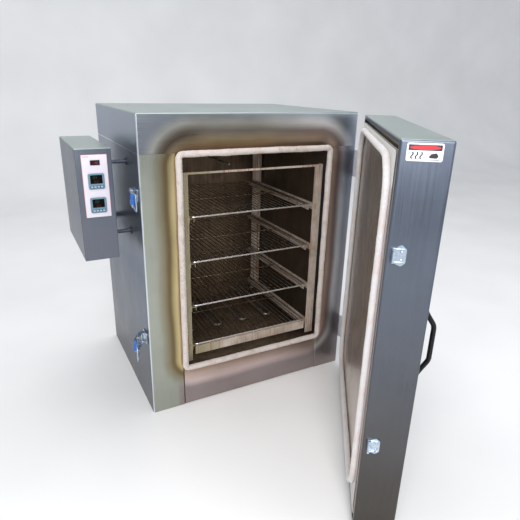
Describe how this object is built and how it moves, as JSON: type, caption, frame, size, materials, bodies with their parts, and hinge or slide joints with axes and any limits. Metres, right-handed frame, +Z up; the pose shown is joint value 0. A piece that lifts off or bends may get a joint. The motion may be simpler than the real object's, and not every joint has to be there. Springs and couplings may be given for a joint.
{
  "type": "batch kiln",
  "caption": "Insulated stainless batch kiln with a side-hinged door, wire shelves on a rack, tubular heaters, draw latches and a side control box.",
  "frame": {"origin": "centre of the cabinet's base, on the surface it stands on", "axes": "+Z up, -Y out of the chamber's mouth, +X towards the side with the door hinges"},
  "size_m": [1.0268, 1.374, 1.015],
  "materials": {
    "stainless": "satin",
    "liner_steel": "matte",
    "insulation": "matte",
    "rope": "matte",
    "rack_steel": "satin",
    "shelf_wire": "satin",
    "element_sheath": "matte",
    "zinc": "satin",
    "black_handle": "satin",
    "blue_grip": "satin",
    "meter": "matte",
    "meter_keys": "matte",
    "switch_black": "satin",
    "switch_red": "gloss",
    "label_face": "satin",
    "meter_window": "gloss"
  },
  "bodies": {
    "cabinet": {"base_pan": "stainless", "left_side_panel": "stainless", "right_side_panel": "stainless", "front_bottom_rail": "stainless", "top_cap": "stainless", "back_panel": "stainless", "control_box_shell": "stainless", "control_box_cover": "stainless", "upper_hinge_cabinet_leaf": "stainless", "lower_hinge_cabinet_leaf": "stainless", "standoff_upper": "stainless", "standoff_lower": "stainless", "chamber_liner": "liner_steel", "cabinet_insulation": "insulation", "opening_rope_gasket": "rope", "rack_side_left": "rack_steel", "rack_side_right": "rack_steel", "rack_top_bar": "rack_steel", "rack_bottom_angle": "rack_steel", "heating_element_1": "element_sheath", "heating_element_2": "element_sheath", "heating_element_3": "element_sheath", "heating_element_4": "element_sheath", "temperature_probe": "element_sheath", "upper_latch_base": "zinc", "lower_latch_base": "zinc", "wiring_conduit": "zinc", "upper_controller": "meter", "lower_controller": "meter", "rocker_frame": "switch_black", "power_relay": "switch_black"},
    "door": {"door_outer_shell": "stainless", "door_inner_panel": "stainless", "door_insulation": "insulation", "door_rope_gasket": "rope", "door_handle": "black_handle", "upper_keeper": "zinc", "lower_keeper": "zinc", "upper_hinge_door_leaf": "stainless", "lower_hinge_door_leaf": "stainless"},
    "shelf_1": {"wire_shelf_1": "shelf_wire"},
    "shelf_2": {"wire_shelf_2": "shelf_wire"},
    "shelf_3": {"wire_shelf_3": "shelf_wire"},
    "shelf_4": {"wire_shelf_4": "shelf_wire"},
    "upper_latch_arm": {"upper_latch_lever": "zinc", "upper_latch_grip": "blue_grip"},
    "upper_latch_loop": {"upper_latch_bail": "zinc"},
    "lower_latch_arm": {"lower_latch_lever": "zinc", "lower_latch_grip": "blue_grip"},
    "lower_latch_loop": {"lower_latch_bail": "zinc"},
    "rocker": {"rocker_paddle": "switch_red"},
    "upper_key_1": {"upper_controller_key_1": "meter_keys"},
    "upper_key_2": {"upper_controller_key_2": "meter_keys"},
    "upper_key_3": {"upper_controller_key_3": "meter_keys"},
    "upper_key_4": {"upper_controller_key_4": "meter_keys"},
    "lower_key_1": {"lower_controller_key_1": "meter_keys"},
    "lower_key_2": {"lower_controller_key_2": "meter_keys"},
    "lower_key_3": {"lower_controller_key_3": "meter_keys"},
    "lower_key_4": {"lower_controller_key_4": "meter_keys"}
  },
  "joints": [
    {"name": "door_swing", "type": "hinge", "parent": "cabinet", "child": "door", "pos_m": [0.412, -0.351, 0], "axis": [0, 0, 1], "range_deg": [-55.3, 114.7]},
    {"name": "shelf_1_slide", "type": "slide", "parent": "cabinet", "child": "shelf_1", "axis": [0, -1, 0], "range_m": [0, 0.25]},
    {"name": "shelf_2_slide", "type": "slide", "parent": "cabinet", "child": "shelf_2", "axis": [0, -1, 0], "range_m": [0, 0.25]},
    {"name": "shelf_3_slide", "type": "slide", "parent": "cabinet", "child": "shelf_3", "axis": [0, -1, 0], "range_m": [0, 0.25]},
    {"name": "shelf_4_slide", "type": "slide", "parent": "cabinet", "child": "shelf_4", "axis": [0, -1, 0], "range_m": [0, 0.25]},
    {"name": "upper_latch_turn", "type": "hinge", "parent": "cabinet", "child": "upper_latch_arm", "pos_m": [-0.408, -0.262, 0.774], "axis": [0, 0, 1], "range_deg": [-165, 8]},
    {"name": "upper_loop_turn", "type": "hinge", "parent": "upper_latch_arm", "child": "upper_latch_loop", "pos_m": [-0.41556, -0.27861, 0.774], "axis": [0, 0, 1], "range_deg": [-9.24, 171]},
    {"name": "lower_latch_turn", "type": "hinge", "parent": "cabinet", "child": "lower_latch_arm", "pos_m": [-0.408, -0.262, 0.284], "axis": [0, 0, 1], "range_deg": [-141, 30]},
    {"name": "lower_loop_turn", "type": "hinge", "parent": "lower_latch_arm", "child": "lower_latch_loop", "pos_m": [-0.42166, -0.2741, 0.284], "axis": [0, 0, 1], "range_deg": [-34.4, 158]},
    {"name": "rocker_tilt", "type": "hinge", "parent": "cabinet", "child": "rocker", "pos_m": [-0.497, -0.1987, 0.866], "axis": [0, 0, 1], "range_deg": [-18, 0]},
    {"name": "upper_key_1_press", "type": "slide", "parent": "cabinet", "child": "upper_key_1", "axis": [0, 1, 0], "range_m": [0, 0.001], "stiffness_N_per_m": 300},
    {"name": "upper_key_2_press", "type": "slide", "parent": "cabinet", "child": "upper_key_2", "axis": [0, 1, 0], "range_m": [0, 0.001], "stiffness_N_per_m": 300},
    {"name": "upper_key_3_press", "type": "slide", "parent": "cabinet", "child": "upper_key_3", "axis": [0, 1, 0], "range_m": [0, 0.001], "stiffness_N_per_m": 300},
    {"name": "upper_key_4_press", "type": "slide", "parent": "cabinet", "child": "upper_key_4", "axis": [0, 1, 0], "range_m": [0, 0.001], "stiffness_N_per_m": 300},
    {"name": "lower_key_1_press", "type": "slide", "parent": "cabinet", "child": "lower_key_1", "axis": [0, 1, 0], "range_m": [0, 0.001], "stiffness_N_per_m": 300},
    {"name": "lower_key_2_press", "type": "slide", "parent": "cabinet", "child": "lower_key_2", "axis": [0, 1, 0], "range_m": [0, 0.001], "stiffness_N_per_m": 300},
    {"name": "lower_key_3_press", "type": "slide", "parent": "cabinet", "child": "lower_key_3", "axis": [0, 1, 0], "range_m": [0, 0.001], "stiffness_N_per_m": 300},
    {"name": "lower_key_4_press", "type": "slide", "parent": "cabinet", "child": "lower_key_4", "axis": [0, 1, 0], "range_m": [0, 0.001], "stiffness_N_per_m": 300}
  ],
  "couplings": [
    {"joint": "upper_loop_turn", "follows": "upper_latch_turn", "ratio": -1.0303},
    {"joint": "lower_loop_turn", "follows": "lower_latch_turn", "ratio": -1.1135}
  ]
}
